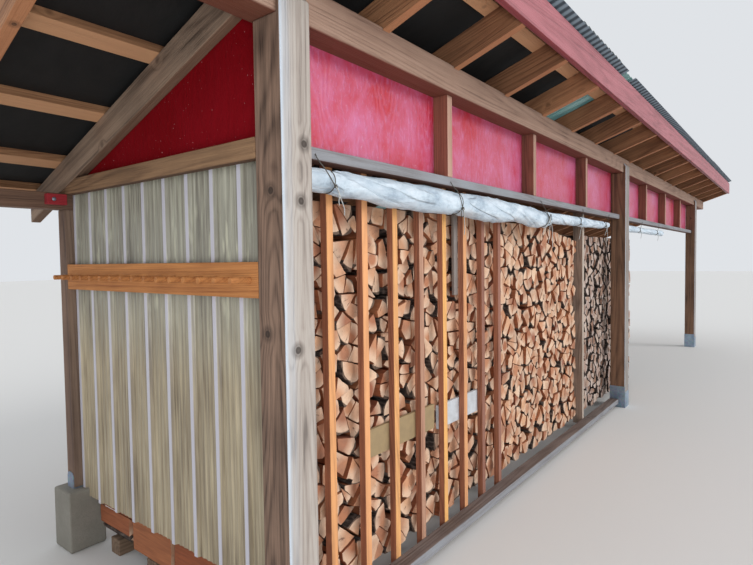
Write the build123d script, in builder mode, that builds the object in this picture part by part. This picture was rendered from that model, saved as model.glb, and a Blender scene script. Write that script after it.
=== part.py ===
from build123d import *
import os
from math import atan2, cos, degrees, pi, radians, sin
from random import Random

# Log store: an open timber shed of two bays under one roof slope, with split firewood behind battens.
# X runs along the long open front, away from the closed end wall, Y runs from front to back, Z is up.
# The origin is on the ground under the middle of the whole outline. All sizes are in millimetres.

# Posts and bays
post = 152.0
back_post = 89.0
bay = 4877.0
frame_depth = 1880.0

# Roof reach past the posts
near_overhang = 640.0
far_overhang = 1025.0
front_overhang = 400.0
back_overhang = 385.0

# Headers that carry the rafters
front_header_bottom = 2530.0
front_header_height = 150.0
front_header_width = 150.0
header_set_back = 25.0
strap_lap = 100.0
strap_slant = 30.0
back_header_bottom = 1940.0
back_header_height = 90.0

# Rafters, purlins and roof covering
rafter_width = 50.0
rafter_depth = 152.0
rafter_spacing = 640.0
front_seat = 15.0
back_seat = 5.0
purlin_width = 90.0
purlin_height = 45.0
front_purlin_place = 200.0
purlin_spacing = 514.0
purlin_rows = 5
eave_purlin_inset = 50.0
felt = 3.0
felt_gap_place = 3123.0
felt_gap_width = 210.0
sheet_lip = 35.0
sheet_count = 13
waves_per_sheet = 7
sheet_height = 18.0
sheet_metal = 2.0
sheet_gap = 1.0
clear_sheet_places = (3365.0, 7815.0)
fascia_thickness = 38.0
fascia_height = 190.0

# Front wall strip between the header and the rail
rail_bottom = 2037.0
rail_thickness = 49.0
rail_width = 90.0
stud_thickness = 50.0
stud_spacing = 1219.25
studs_per_bay = 3
panel_thickness = 12.0

# End wall
end_beam_bottom = 2020.0
end_beam_height = 83.0
end_beam_thickness = 41.0
first_rib = 154.0
rib_spacing = 183.0
rib_height = 18.0
rib_foot = 40.0
rib_crest = 20.0
wall_sheet_metal = 2.0
wall_sheet_bottom = 300.0
girt_height = 90.0
girt_thickness = 38.0
low_girt_bottom = 410.0
rack_bottom = 1492.0
rack_height = 140.0
rack_thickness = 38.0
peg_count = 16
peg_radius = 13.0
peg_sides = 10
peg_length = 92.0
cleat_length = 103.0
cleat_height = 58.0
cleat_thickness = 38.0
cleat_drop = 10.0

# Feet
sleeve_height = 230.0
sleeve_front_height = 170.0
sleeve_metal = 3.0
pier_height = 345.0
pier_width = 200.0
saddle_plate = 6.0
saddle_metal = 4.0
saddle_height = 85.0
saddle_width = 76.0
saddle_rounding = 30.0

# Battens, boards and firewood
batten_count = 8
batten_spacing = 242.6
first_batten = 235.0
batten_width = 42.0
batten_depth = 38.0
foot_rail_bottom = 40.0
foot_rail_thickness = 50.0
board_thickness = 18.0
board_height = 140.0
grey_board_top = 795.0
grey_board_length = 640.0
white_board_top = 775.0
white_board_length = 500.0
lath_place = 1402.0
lath_width = 46.0
lath_bottom = 1412.0
lath_top = 1990.0
bearer = 90.0
bearer_rows = 4
clearance = 0.3
near_stack_top = 1900.0
near_stack_low_top = 1790.0
low_stack_length = 900.0
far_stack_top = 1850.0
stack_stud_place = 3758.0
stack_stud_width = 50.0
stack_stud_depth = 89.0
far_stack_reach = 1070.0
end_stud_width = 38.0

# Split logs
log_length = 374.0
log_width = 190.0
log_height = 170.0
log_stray = 0.3
log_gap = 0.8
log_split_share = 0.55
log_end_steps = 4
log_end_step = 9.0
least_log_edge = 20.0

# Rolled tarpaulins: radius and distance under the rail at shares of each roll's length
roll_sides = 12
near_roll_shares = (0.0, 0.088, 0.145, 0.266, 0.392, 0.47, 0.549, 0.582, 0.607, 0.773, 0.919, 1.0)
near_roll_radii = (54.0, 57.0, 66.0, 71.0, 75.0, 62.0, 70.0, 70.0, 42.0, 46.0, 40.0, 32.0)
near_roll_drops = (20.0, 21.0, 23.0, 19.0, 24.0, 30.0, 42.0, 43.0, 45.0, 40.0, 44.0, 45.0)
near_roll_end_gap = 265.0
near_tie_shares = (0.04, 0.27, 0.565, 0.77, 0.96)
far_roll_shares = (0.0, 0.4, 1.0)
far_roll_radii = (42.0, 38.0, 40.0)
far_roll_drops = (38.0, 40.0, 36.0)
far_roll_end_gap = 2385.0
far_tie_shares = (0.38, 0.81)
tie_width = 8.0
tie_thickness = 3.0
tie_tail = 105.0

# Worked out from the sizes above
length = 2 * bay + post
roof_length = near_overhang + length + far_overhang
near_end = -roof_length / 2
far_end = roof_length / 2
wall = near_end + near_overhang
front_reach = front_overhang + sheet_lip
back_reach = back_overhang + sheet_lip
front = -(front_reach + frame_depth + back_reach) / 2 + front_reach
back = front + frame_depth
post_places = [wall + post / 2 + bay * number for number in range(3)]
back_post_places = [wall + back_post / 2, post_places[1], wall + length - back_post / 2]
back_post_middle = back - back_post / 2
front_header_top = front_header_bottom + front_header_height
back_header_top = back_header_bottom + back_header_height
header_front = front + header_set_back
header_back = header_front + front_header_width
slope = (front_header_top - front_seat - back_header_top + back_seat) / (back - header_front)
pitch = degrees(atan2(slope, 1))
rafter_upright = rafter_depth / cos(radians(pitch))
rail_front = front + post - rail_width
rail_top = rail_bottom + rail_thickness
rafter_front = front - front_overhang + fascia_thickness
rafter_back = back + back_overhang
behind_posts = front + post
front_panel_foot = rail_bottom + rail_thickness / 2
board_front = behind_posts + batten_depth
wood_front = board_front + board_thickness + clearance


def underside(y):
    """Height of the rafters' underside at a place from front to back."""
    return front_header_top - front_seat - slope * (y - header_front)


def top_side(y):
    """Height of the rafters' top at a place from front to back."""
    return underside(y) + rafter_upright


def save(part, name):
    """Label a finished piece and write it to its own file."""
    part.label = name
    export_step(part, f"parts/{name}.step")


os.makedirs("parts", exist_ok=True)

# Front posts, cut back at the top so that a strap runs up over the header
for place, name in zip(post_places, ("near", "middle", "far")):
    with BuildPart() as front_post:
        with BuildSketch(Plane.YZ.offset(place - post / 2)):
            with BuildLine():
                Polyline(
                    (front, sleeve_metal),
                    (front + post, sleeve_metal),
                    (front + post, front_header_bottom),
                    (header_front, front_header_bottom),
                    (header_front, front_header_bottom + strap_lap),
                    (front, front_header_bottom + strap_lap - strap_slant),
                    close=True,
                )
            make_face()
        extrude(amount=post)
    save(front_post.part, f"front_post_{name}")

# Back posts, standing in saddles on their piers
back_post_bottom = pier_height + saddle_plate
pier_places = [(place, back_post_middle) for place in back_post_places]
for place, name in zip(pier_places, ("near", "middle", "far")):
    with BuildPart() as back_upright:
        with BuildSketch(Plane.XY.offset(back_post_bottom)):
            with Locations(place):
                Rectangle(back_post, back_post)
        extrude(amount=back_header_bottom - back_post_bottom)
    save(back_upright.part, f"back_post_{name}")

# Galvanised sleeves round the feet of the front posts, lower at the front
sleeve_places = [(place, front + post / 2) for place in post_places]
sleeve_side = post + 2 * sleeve_metal
with BuildPart() as post_sleeves:
    with BuildSketch():
        with Locations(*sleeve_places):
            Rectangle(sleeve_side, sleeve_side)
    extrude(amount=sleeve_height)
    with BuildSketch(Plane.XY.offset(sleeve_metal)):
        with Locations(*sleeve_places):
            Rectangle(post, post)
    extrude(amount=sleeve_height, mode=Mode.SUBTRACT)
    with BuildSketch(Plane.XY.offset(sleeve_front_height)):
        with Locations(*[(place, front) for place in post_places]):
            Rectangle(sleeve_side, sleeve_metal, align=(Align.CENTER, Align.MAX))
    extrude(amount=sleeve_height, mode=Mode.SUBTRACT)
save(post_sleeves.part, "post_sleeves")

# Concrete piers under the back posts
with BuildPart() as piers:
    with BuildSketch():
        with Locations(*pier_places):
            Rectangle(pier_width, pier_width)
    extrude(amount=pier_height)
save(piers.part, "back_piers")

# Galvanised saddles that hold the back posts on the piers
with BuildPart() as post_saddles:
    with BuildSketch(Plane.XY.offset(pier_height)):
        with Locations(*pier_places):
            Rectangle(back_post + 2 * saddle_metal, saddle_width)
    extrude(amount=saddle_plate + saddle_height)
    with BuildSketch(Plane.XY.offset(back_post_bottom)):
        with Locations(*pier_places):
            Rectangle(back_post, saddle_width)
    extrude(amount=saddle_height, mode=Mode.SUBTRACT)
    strap_tops = post_saddles.edges().filter_by(Axis.X).group_by(Axis.Z)[-1]
    fillet(strap_tops, saddle_rounding)
save(post_saddles.part, "post_saddles")

# Headers along the front and the back, each in two lengths that meet over the middle post
middle = post_places[1]
for start, end, name in ((near_end, middle, "near"), (middle, far_end, "far")):
    with BuildPart() as front_header:
        with BuildSketch(Plane.YZ.offset(start)):
            with Locations((header_front, front_header_bottom)):
                Rectangle(front_header_width, front_header_height, align=(Align.MIN, Align.MIN))
        extrude(amount=end - start)
    save(front_header.part, f"front_header_{name}")
    with BuildPart() as back_header:
        with BuildSketch(Plane.YZ.offset(start)):
            with Locations((back - back_post, back_header_bottom)):
                Rectangle(back_post, back_header_height, align=(Align.MIN, Align.MIN))
        extrude(amount=end - start)
    save(back_header.part, f"back_header_{name}")

# Rails and plywood panels between the front posts
for number, name in enumerate(("near", "far")):
    rail_start = post_places[number] + post / 2
    rail_end = post_places[number + 1] - post / 2
    with BuildPart() as front_rail:
        with BuildSketch(Plane.YZ.offset(rail_start)):
            with Locations((rail_front, rail_bottom)):
                Rectangle(rail_width, rail_thickness, align=(Align.MIN, Align.MIN))
        extrude(amount=rail_end - rail_start)
    save(front_rail.part, f"front_rail_{name}")
    with BuildPart() as front_panel:
        with BuildSketch(Plane.YZ.offset(rail_start)):
            with Locations((behind_posts, front_panel_foot)):
                Rectangle(
                    panel_thickness,
                    front_header_bottom - front_panel_foot,
                    align=(Align.MIN, Align.MIN),
                )
        extrude(amount=rail_end - rail_start)
    save(front_panel.part, f"front_panel_{name}")

# Short studs between the rail and the header
stud_places = [
    place + stud_spacing * (number + 1) for place in post_places[:2] for number in range(studs_per_bay)
]
with BuildPart() as cripple_studs:
    with BuildSketch(Plane.XY.offset(rail_top)):
        with Locations(*[(place, rail_front + rail_width / 2) for place in stud_places]):
            Rectangle(stud_thickness, rail_width)
    extrude(amount=front_header_bottom - rail_top)
save(cripple_studs.part, "cripple_studs")


def rafter_outline():
    """Closed outline of one rafter, notched over both headers."""
    heel = back - back_seat / slope
    Polyline(
        (rafter_front, underside(rafter_front)),
        (header_front, underside(header_front)),
        (header_front, front_header_top),
        (header_back, front_header_top),
        (header_back, underside(header_back)),
        (heel, back_header_top),
        (back, back_header_top),
        (back, underside(back)),
        (rafter_back, underside(rafter_back)),
        (rafter_back, top_side(rafter_back)),
        (rafter_front, top_side(rafter_front)),
        close=True,
    )


# The gable rafter stands flush with the end wall, and the others follow at even spacing
with BuildPart() as gable_rafter:
    with BuildSketch(Plane.YZ.offset(wall)):
        with BuildLine():
            rafter_outline()
        make_face()
    extrude(amount=rafter_width)
save(gable_rafter.part, "gable_rafter")

rafter_count = int((roof_length - near_overhang - rafter_width) / rafter_spacing + 0.5)
last_rafter = far_end - rafter_width
inner_spacing = (last_rafter - wall) / rafter_count
rafter_places = [near_end] + [wall + inner_spacing * (number + 1) for number in range(rafter_count)]
with BuildPart() as rafters:
    with BuildSketch(*[Plane.YZ.offset(place) for place in rafter_places]):
        with BuildLine(Plane.XY):
            rafter_outline()
        make_face()
    extrude(amount=rafter_width)
save(rafters.part, "rafters")

# Purlins laid flat across the rafters
purlin_places = [front - front_purlin_place + purlin_spacing * row for row in range(purlin_rows)]
purlin_places.append(rafter_back - eave_purlin_inset)
with BuildPart() as purlins:
    with BuildSketch(Plane.YZ.offset(near_end)):
        with Locations(*[(place, top_side(place)) for place in purlin_places]):
            Rectangle(purlin_width, purlin_height, rotation=-pitch, align=(Align.CENTER, Align.MIN))
    extrude(amount=roof_length)
save(purlins.part, "purlins")

# Roofing felt over the purlins, with one strip missing under a clear sheet
roof_front = front - front_reach
roof_back = back + back_reach
roof_slant = (roof_back - roof_front) / cos(radians(pitch))
eave_height = top_side(roof_back) + purlin_height / cos(radians(pitch))
eave = Plane(
    origin=(near_end, roof_back, eave_height),
    x_dir=(1, 0, 0),
    z_dir=(0, -cos(radians(pitch)), sin(radians(pitch))),
)
felt_gap_start = near_overhang + felt_gap_place
felt_gap_end = felt_gap_start + felt_gap_width
with BuildPart() as roof_felt:
    with BuildSketch(eave):
        Rectangle(felt_gap_start, felt, align=(Align.MIN, Align.MIN))
        with Locations((felt_gap_end, 0)):
            Rectangle(roof_length - felt_gap_end, felt, align=(Align.MIN, Align.MIN))
    extrude(amount=roof_slant)
save(roof_felt.part, "roof_felt")


def corrugated(start, width, waves):
    """Outline of one corrugated sheet, its lower side on the felt."""
    wave = width / waves
    lower = []
    for number in range(waves):
        left = start + wave * number
        lower += [(left, 0), (left + wave * 0.25, 0), (left + wave * 0.5, 1), (left + wave * 0.75, 1)]
    lower.append((start + width, 0))
    outline = [(x, felt + sheet_height * level) for x, level in lower]
    outline += [(x, felt + sheet_height * level + sheet_metal) for x, level in reversed(lower)]
    Polyline(*outline, close=True)


# Corrugated roof sheets, dark ones and a few clear ones that let light in
sheet_width = roof_length / sheet_count
clear_sheets = [int((near_overhang + place) / sheet_width) for place in clear_sheet_places]
for name, wanted in (("roof_sheets", False), ("clear_roof_sheets", True)):
    numbers = [number for number in range(sheet_count) if (number in clear_sheets) == wanted]
    with BuildPart() as roof_sheets:
        for number in numbers:
            with BuildSketch(eave):
                with BuildLine():
                    corrugated(sheet_width * number, sheet_width - sheet_gap, waves_per_sheet)
                make_face()
        extrude(amount=roof_slant)
    save(roof_sheets.part, name)

# Fascia across the rafter ends, in two lengths
for start, end, name in ((near_end, middle, "near"), (middle, far_end, "far")):
    with BuildPart() as fascia:
        with BuildSketch(Plane.YZ.offset(start)):
            with Locations((rafter_front, underside(rafter_front))):
                Rectangle(fascia_thickness, fascia_height, align=(Align.MAX, Align.MIN))
        extrude(amount=end - start)
    save(fascia.part, f"fascia_{name}")

# End wall: a beam from the near post to the back header, cut to the slope of the rafter above it
beam_top = end_beam_bottom + end_beam_height
header_inner = back - back_post


def place_under_rafter(height):
    """Place from front to back where the rafter's underside is at this height."""
    return header_front + (front_header_top - front_seat - height) / slope


with BuildPart() as end_beam:
    with BuildSketch(Plane.YZ.offset(wall)):
        with BuildLine():
            Polyline(
                (behind_posts, end_beam_bottom),
                (header_inner, end_beam_bottom),
                (header_inner, back_header_top),
                (place_under_rafter(back_header_top), back_header_top),
                (place_under_rafter(beam_top), beam_top),
                (behind_posts, beam_top),
                close=True,
            )
        make_face()
    extrude(amount=end_beam_thickness)
save(end_beam.part, "end_beam")

# Plywood gable behind the rafter, down to where the rafter meets the back header
panel_foot = underside(header_inner)
gable_plane = Plane.YZ.offset(wall + rafter_width)
with BuildPart() as gable_panel:
    with BuildSketch(gable_plane):
        with BuildLine():
            Polyline(
                (behind_posts, panel_foot),
                (header_inner, panel_foot),
                (header_inner, top_side(header_inner)),
                (header_back, top_side(header_back)),
                (header_back, front_header_bottom),
                (behind_posts, front_header_bottom),
                close=True,
            )
        make_face()
    extrude(amount=panel_thickness)
save(gable_panel.part, "gable_panel")

# Ribbed wall sheet under the gable, ribs outward, with its lower back corner cut away over the pier
wall_length = header_inner - behind_posts
sheet_end = header_inner - clearance
rib_count = int((wall_length - first_rib - rib_foot / 2) / rib_spacing) + 1
sheet_outer = wall + end_beam_thickness
pier_front = back_post_middle - pier_width / 2
with BuildPart() as end_wall_sheet:
    with BuildSketch(Plane.XY.offset(wall_sheet_bottom)):
        with BuildLine():
            ribs = [(sheet_outer + rib_height, behind_posts)]
            for number in range(rib_count):
                rib = behind_posts + first_rib + rib_spacing * number
                ribs += [
                    (sheet_outer + rib_height, rib - rib_foot / 2),
                    (sheet_outer, rib - rib_crest / 2),
                    (sheet_outer, rib + rib_crest / 2),
                    (sheet_outer + rib_height, rib + rib_foot / 2),
                ]
            ribs.append((sheet_outer + rib_height, sheet_end))
            inner = [(x + wall_sheet_metal, y) for x, y in reversed(ribs)]
            Polyline(*ribs, *inner, close=True)
        make_face()
    extrude(amount=panel_foot - clearance - wall_sheet_bottom)
    with BuildSketch(Plane.XY.offset(wall_sheet_bottom)):
        with Locations((wall, pier_front - clearance)):
            Rectangle(pier_width, pier_width, align=(Align.MIN, Align.MIN))
    extrude(amount=pier_height + clearance - wall_sheet_bottom, mode=Mode.SUBTRACT)
save(end_wall_sheet.part, "end_wall_sheet")

# Girts inside the sheet, one behind the tool rack and one at the foot
girt_outer = sheet_outer + rib_height + wall_sheet_metal
with BuildPart() as end_wall_girts:
    with BuildSketch(Plane.YZ.offset(girt_outer)):
        with Locations((behind_posts, rack_bottom), (behind_posts, low_girt_bottom)):
            Rectangle(wall_length, girt_height, align=(Align.MIN, Align.MIN))
    extrude(amount=girt_thickness)
save(end_wall_girts.part, "end_wall_girts")

# Tool rack: a board along the wall with a row of pegs
with BuildPart() as rack_board:
    with BuildSketch(Plane.YZ.offset(sheet_outer - rack_thickness)):
        with Locations((behind_posts, rack_bottom)):
            Rectangle(wall_length, rack_height, align=(Align.MIN, Align.MIN))
    extrude(amount=rack_thickness)
save(rack_board.part, "tool_rack_board")

peg_step = wall_length / peg_count
with BuildPart() as rack_pegs:
    with BuildSketch(Plane.YZ.offset(sheet_outer - rack_thickness)):
        places = [behind_posts + peg_step * (number + 0.5) for number in range(peg_count)]
        with Locations(*[(place, rack_bottom + rack_height / 2) for place in places]):
            RegularPolygon(peg_radius, peg_sides)
    extrude(amount=-peg_length)
save(rack_pegs.part, "tool_rack_pegs")

# Painted cleat on the back header beside the end wall
with BuildPart() as painted_cleat:
    with BuildSketch(Plane.XZ.offset(-header_inner)):
        with Locations((wall, back_header_top - cleat_drop)):
            Rectangle(cleat_length, cleat_height, align=(Align.MAX, Align.MAX))
    extrude(amount=cleat_thickness)
save(painted_cleat.part, "painted_cleat")

# Battens in front of the near bay's firewood, fixed to the back of the rails
bay_start = post_places[0] + post / 2
batten_places = [bay_start + first_batten + batten_spacing * number for number in range(batten_count)]
with BuildPart() as front_battens:
    with BuildSketch(Plane.XY.offset(foot_rail_bottom)):
        with Locations(*[(place, behind_posts) for place in batten_places]):
            Rectangle(batten_width, batten_depth, align=(Align.MIN, Align.MIN))
    extrude(amount=front_panel_foot - foot_rail_bottom)
save(front_battens.part, "front_battens")

with BuildPart() as foot_rail:
    with BuildSketch(Plane.YZ.offset(bay_start + sleeve_metal)):
        with Locations((rail_front, foot_rail_bottom)):
            Rectangle(rail_width, foot_rail_thickness, align=(Align.MIN, Align.MIN))
    extrude(amount=bay - post - 2 * sleeve_metal)
save(foot_rail.part, "foot_rail")

# Boards and a loose lath behind the battens that hold the wood back
with BuildPart() as retaining_boards:
    with BuildSketch(Plane.XZ.offset(-board_front)):
        with Locations((batten_places[1] + batten_width, grey_board_top)):
            Rectangle(grey_board_length, board_height, align=(Align.MIN, Align.MAX))
        with Locations((batten_places[4], white_board_top)):
            Rectangle(white_board_length, board_height, align=(Align.MIN, Align.MAX))
        with Locations((bay_start + lath_place, lath_bottom)):
            Rectangle(lath_width, lath_top - lath_bottom, align=(Align.MIN, Align.MIN))
    extrude(amount=-board_thickness)
save(retaining_boards.part, "retaining_boards")

# Bearers on the ground under the firewood
stack_start = girt_outer + girt_thickness + clearance
stack_stud_start = bay_start + stack_stud_place
far_stack_start = stack_stud_start + stack_stud_width + clearance
end_stud_start = post_places[1] + far_stack_reach
wood_back = pier_front - clearance
bearer_step = (wood_back - wood_front) / bearer_rows
bearer_places = [wood_front + bearer_step * (row + 0.5) for row in range(bearer_rows)]
with BuildPart() as log_bearers:
    with BuildSketch(Plane.YZ.offset(stack_start)):
        with Locations(*[(place, 0) for place in bearer_places]):
            Rectangle(bearer, bearer, align=(Align.CENTER, Align.MIN))
    extrude(amount=end_stud_start + end_stud_width - stack_start)
save(log_bearers.part, "log_bearers")

# Uprights that end the two stacks
with BuildPart() as stack_stud:
    with BuildSketch(Plane.XY.offset(foot_rail_bottom)):
        with Locations((stack_stud_start, behind_posts)):
            Rectangle(stack_stud_width, stack_stud_depth, align=(Align.MIN, Align.MIN))
    extrude(amount=front_panel_foot - foot_rail_bottom)
save(stack_stud.part, "stack_stud")

with BuildPart() as end_studs:
    with BuildSketch(Plane.XY.offset(bearer)):
        with Locations((end_stud_start, bearer_places[0]), (end_stud_start, bearer_places[-1])):
            Rectangle(end_stud_width, stack_stud_depth, align=(Align.MIN, Align.CENTER))
    extrude(amount=far_stack_top - bearer)
save(end_studs.part, "end_studs")

# Firewood: the front row of each stack is cut into logs, and the rows behind it are one block


def trimmed(outline, place, away, gap):
    """What is left of a convex outline on the near side of a line through a place, less half a gap."""
    kept = []
    for corner, following in zip(outline, outline[1:] + outline[:1]):
        here = (corner - place).dot(away) + gap / 2
        there = (following - place).dot(away) + gap / 2
        if here <= 0:
            kept.append(corner)
        if here * there < 0:
            kept.append(corner + (following - corner) * (here / (here - there)))
    return kept


def without_short_edges(outline):
    """The outline less the corners that lie close behind the one before them."""
    return [
        corner
        for corner, before in zip(outline, outline[-1:] + outline[:-1])
        if (corner - before).length > least_log_edge
    ]


def log_outlines(stack, seed):
    """Convex outlines of logs that fill the stack's outline: cells round strewn hearts, some split in two."""
    draw = Random(seed)
    low = Vector(min(corner.X for corner in stack), min(corner.Y for corner in stack))
    size = Vector(max(corner.X for corner in stack), max(corner.Y for corner in stack)) - low
    columns = round(size.X / log_width)
    rows = round(size.Y / log_height)
    step = Vector(size.X / columns, size.Y / rows)
    hearts = []
    for row in range(rows):
        for column in range(columns):
            across = column + 0.5 + 0.25 * (-1) ** row + draw.uniform(-log_stray, log_stray)
            up = row + 0.5 + draw.uniform(-log_stray, log_stray)
            hearts.append(low + Vector(across * step.X, up * step.Y))
    logs = []
    for heart in hearts:
        log = stack
        for other in hearts:
            apart = other - heart
            if 0 < apart.length < 3 * log_width:
                log = trimmed(log, heart + apart / 2, apart.normalized(), log_gap)
        halves = [log]
        if draw.random() < log_split_share:
            angle = draw.uniform(0, pi)
            away = Vector(cos(angle), sin(angle))
            halves = [trimmed(log, heart, away, log_gap), trimmed(log, heart, -away, log_gap)]
        logs += [without_short_edges(half) for half in halves]
    draw.shuffle(logs)
    return logs


near_stack = [
    Vector(stack_start, bearer),
    Vector(stack_stud_start - clearance, bearer),
    Vector(stack_stud_start - clearance, near_stack_low_top),
    Vector(stack_stud_start - low_stack_length, near_stack_top),
    Vector(stack_start, near_stack_top),
]
far_stack = [
    Vector(far_stack_start, bearer),
    Vector(end_stud_start - clearance, bearer),
    Vector(end_stud_start - clearance, far_stack_top),
    Vector(far_stack_start, far_stack_top),
]
log_back = wood_front + log_length
for stack, seed, name in ((near_stack, 1, "near"), (far_stack, 2, "far")):
    logs = log_outlines(stack, seed)
    with BuildPart() as firewood:
        for number in range(log_end_steps):
            log_front = wood_front + log_end_step * number
            with BuildSketch(Plane.XZ.offset(-log_front)):
                ends = logs[number::log_end_steps]
                add([Polygon(*log, align=None, mode=Mode.PRIVATE) for log in ends])
            extrude(amount=log_front - log_back)
        with BuildSketch(Plane.XZ.offset(-log_back - clearance)):
            with BuildLine():
                Polyline(*stack, close=True)
            make_face()
        extrude(amount=log_back + clearance - wood_back)
    save(firewood.part, f"firewood_{name}")

# Rolled tarpaulins that hang in ties under the rails


def between(share, shares, values):
    """The value at a share of a length, on straight lines between the listed ones."""
    for start, end, low, high in zip(shares, shares[1:], values, values[1:]):
        if start <= share <= end:
            return low + (high - low) * (share - start) / (end - start)


for number, name, shares, radii, drops, end_gap, tie_shares in (
    (0, "near", near_roll_shares, near_roll_radii, near_roll_drops, near_roll_end_gap, near_tie_shares),
    (1, "far", far_roll_shares, far_roll_radii, far_roll_drops, far_roll_end_gap, far_tie_shares),
):
    roll_start = post_places[number] + post / 2 + clearance
    roll_length = bay - post - end_gap
    roll_back = behind_posts - 2 * clearance - tie_thickness
    with BuildPart() as tarp_roll:
        for share, radius, drop in zip(shares, radii, drops):
            with BuildSketch(Plane.YZ.offset(roll_start + roll_length * share)):
                with Locations((roll_back - radius, rail_bottom - drop - radius)):
                    RegularPolygon(radius, roll_sides)
        loft(ruled=True)
    save(tarp_roll.part, f"tarp_roll_{name}")
    with BuildPart() as roll_ties:
        for share in tie_shares:
            radius = between(share, shares, radii)
            height = rail_bottom - between(share, shares, drops) - radius
            tie_radius = radius + clearance + tie_thickness / 2
            tie_top = rail_bottom - clearance
            with BuildSketch(Plane.YZ.offset(roll_start + roll_length * share)):
                with Locations((roll_back - radius, height)):
                    RegularPolygon(radius + clearance + tie_thickness, roll_sides)
                    RegularPolygon(radius + clearance, roll_sides, mode=Mode.SUBTRACT)
                with Locations((roll_back - radius, tie_top)):
                    Rectangle(tie_thickness, tie_top - height - tie_radius, align=(Align.CENTER, Align.MAX))
                with Locations((roll_back - radius, height - tie_radius)):
                    Rectangle(tie_thickness, tie_tail, align=(Align.CENTER, Align.MAX))
            extrude(amount=tie_width)
    save(roll_ties.part, f"roll_ties_{name}")
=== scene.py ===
# %% [markdown]
# # Log store
# An open timber shed with one sloping roof, built along a row of heavy posts. The near bay is full of
# split firewood behind battens, and the far bay is half empty. The measured model gives every timber
# its size and place, and this script adds the finish and the finer shape of each timber, sheet and log.

import random
from math import atan2, cos, degrees, exp, pi, radians, sin, sqrt, tan

import bmesh
import bpy
from bmesh import ops
from bmesh.types import BMEdge, BMFace, BMVert
from mathutils import Matrix, Vector


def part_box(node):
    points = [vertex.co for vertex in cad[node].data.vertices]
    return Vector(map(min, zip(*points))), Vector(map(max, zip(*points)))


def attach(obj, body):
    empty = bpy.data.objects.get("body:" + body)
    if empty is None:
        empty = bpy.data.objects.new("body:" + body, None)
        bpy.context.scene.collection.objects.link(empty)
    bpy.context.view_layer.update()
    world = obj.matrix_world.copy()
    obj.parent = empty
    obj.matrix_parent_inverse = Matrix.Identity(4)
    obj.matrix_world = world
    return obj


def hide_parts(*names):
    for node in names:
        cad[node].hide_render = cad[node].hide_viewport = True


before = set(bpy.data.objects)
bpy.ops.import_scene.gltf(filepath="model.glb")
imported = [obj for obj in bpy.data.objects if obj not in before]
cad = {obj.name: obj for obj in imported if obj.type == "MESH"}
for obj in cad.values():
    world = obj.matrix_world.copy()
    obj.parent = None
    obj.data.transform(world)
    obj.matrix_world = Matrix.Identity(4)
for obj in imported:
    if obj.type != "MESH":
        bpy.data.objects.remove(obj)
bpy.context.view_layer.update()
scene = bpy.context.scene
print("Nodes loaded:", len(cad))


def adjust(thing, **settings):
    """Change several settings of a thing, and hand it back."""
    for name, value in settings.items():
        setattr(thing, name, value)
    return thing


def new_object(name, data):
    """Put data into the scene as an object at the origin."""
    made = bpy.data.objects.new(name, data)
    scene.collection.objects.link(made)
    return made


# %% [markdown]
# ## Camera
# The photographer stood off the near corner, at eye height, and looked along the front. The camera's
# three own directions say plainly where it looks: forward first, then right and up, with a slight roll.

# %% Camera
PHOTO_WIDTH = 753
FOCAL_PIXELS = 543.84
SENSOR_WIDTH = 36.0
CAMERA_YAW = radians(37.90)
CAMERA_PITCH = radians(-2.35)
CAMERA_ROLL = radians(0.785)
CAMERA_FROM_POST = Vector((-1.349, -1.470, 1.632))

post_low, post_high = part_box("front_post_near")
post_corner = Vector((post_low.x, post_low.y, 0.0))
ahead, aside = cos(CAMERA_YAW), sin(CAMERA_YAW)
forward = Vector((ahead * cos(CAMERA_PITCH), aside * cos(CAMERA_PITCH), sin(CAMERA_PITCH)))
level_right = Vector((aside, -ahead, 0.0))
level_up = -forward.cross(level_right)
right = cos(CAMERA_ROLL) * level_right - sin(CAMERA_ROLL) * level_up
up = sin(CAMERA_ROLL) * level_right + cos(CAMERA_ROLL) * level_up

camera = scene.camera = new_object("camera", bpy.data.cameras.new("camera"))
turn = Matrix((right, up, -forward)).transposed().to_4x4()
camera.matrix_world = Matrix.Translation(post_corner + CAMERA_FROM_POST) @ turn
lens = FOCAL_PIXELS / PHOTO_WIDTH * SENSOR_WIDTH
adjust(camera.data, sensor_width=SENSOR_WIDTH, lens=lens)
print("Camera at", [round(value, 3) for value in camera.location], "lens", round(lens, 2))

# %% [markdown]
# ## Helpers for materials
# A formula is easier to read than a net of nodes. So a value that varies over a surface is a Field
# here, and arithmetic with it adds the nodes, while a Recipe makes the fields of one material. Colours
# are a colour picker's codes, and one helper turns them into the linear light that a shader works in.

# %% Helpers for materials


def paint(shade):
    """A colour picker's code, or one grey level, as the linear colour that a shader takes."""
    if isinstance(shade, float):
        return (shade, shade, shade, 1.0)
    if isinstance(shade, tuple):
        return shade
    shares = [int(shade[place : place + 2], 16) / 255 for place in (1, 3, 5)]
    return (*(share / 12.92 if share <= 0.04045 else ((share + 0.055) / 1.055) ** 2.4 for share in shares), 1.0)


def darker(shade, share):
    """A colour with only a share of its light left."""
    return (*(value * share for value in paint(shade)[:3]), 1.0)


def operator(operation):
    """A method that adds one Math node with the field and one more value."""
    return lambda field, other: field.recipe.math(operation, field, other)


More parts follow.
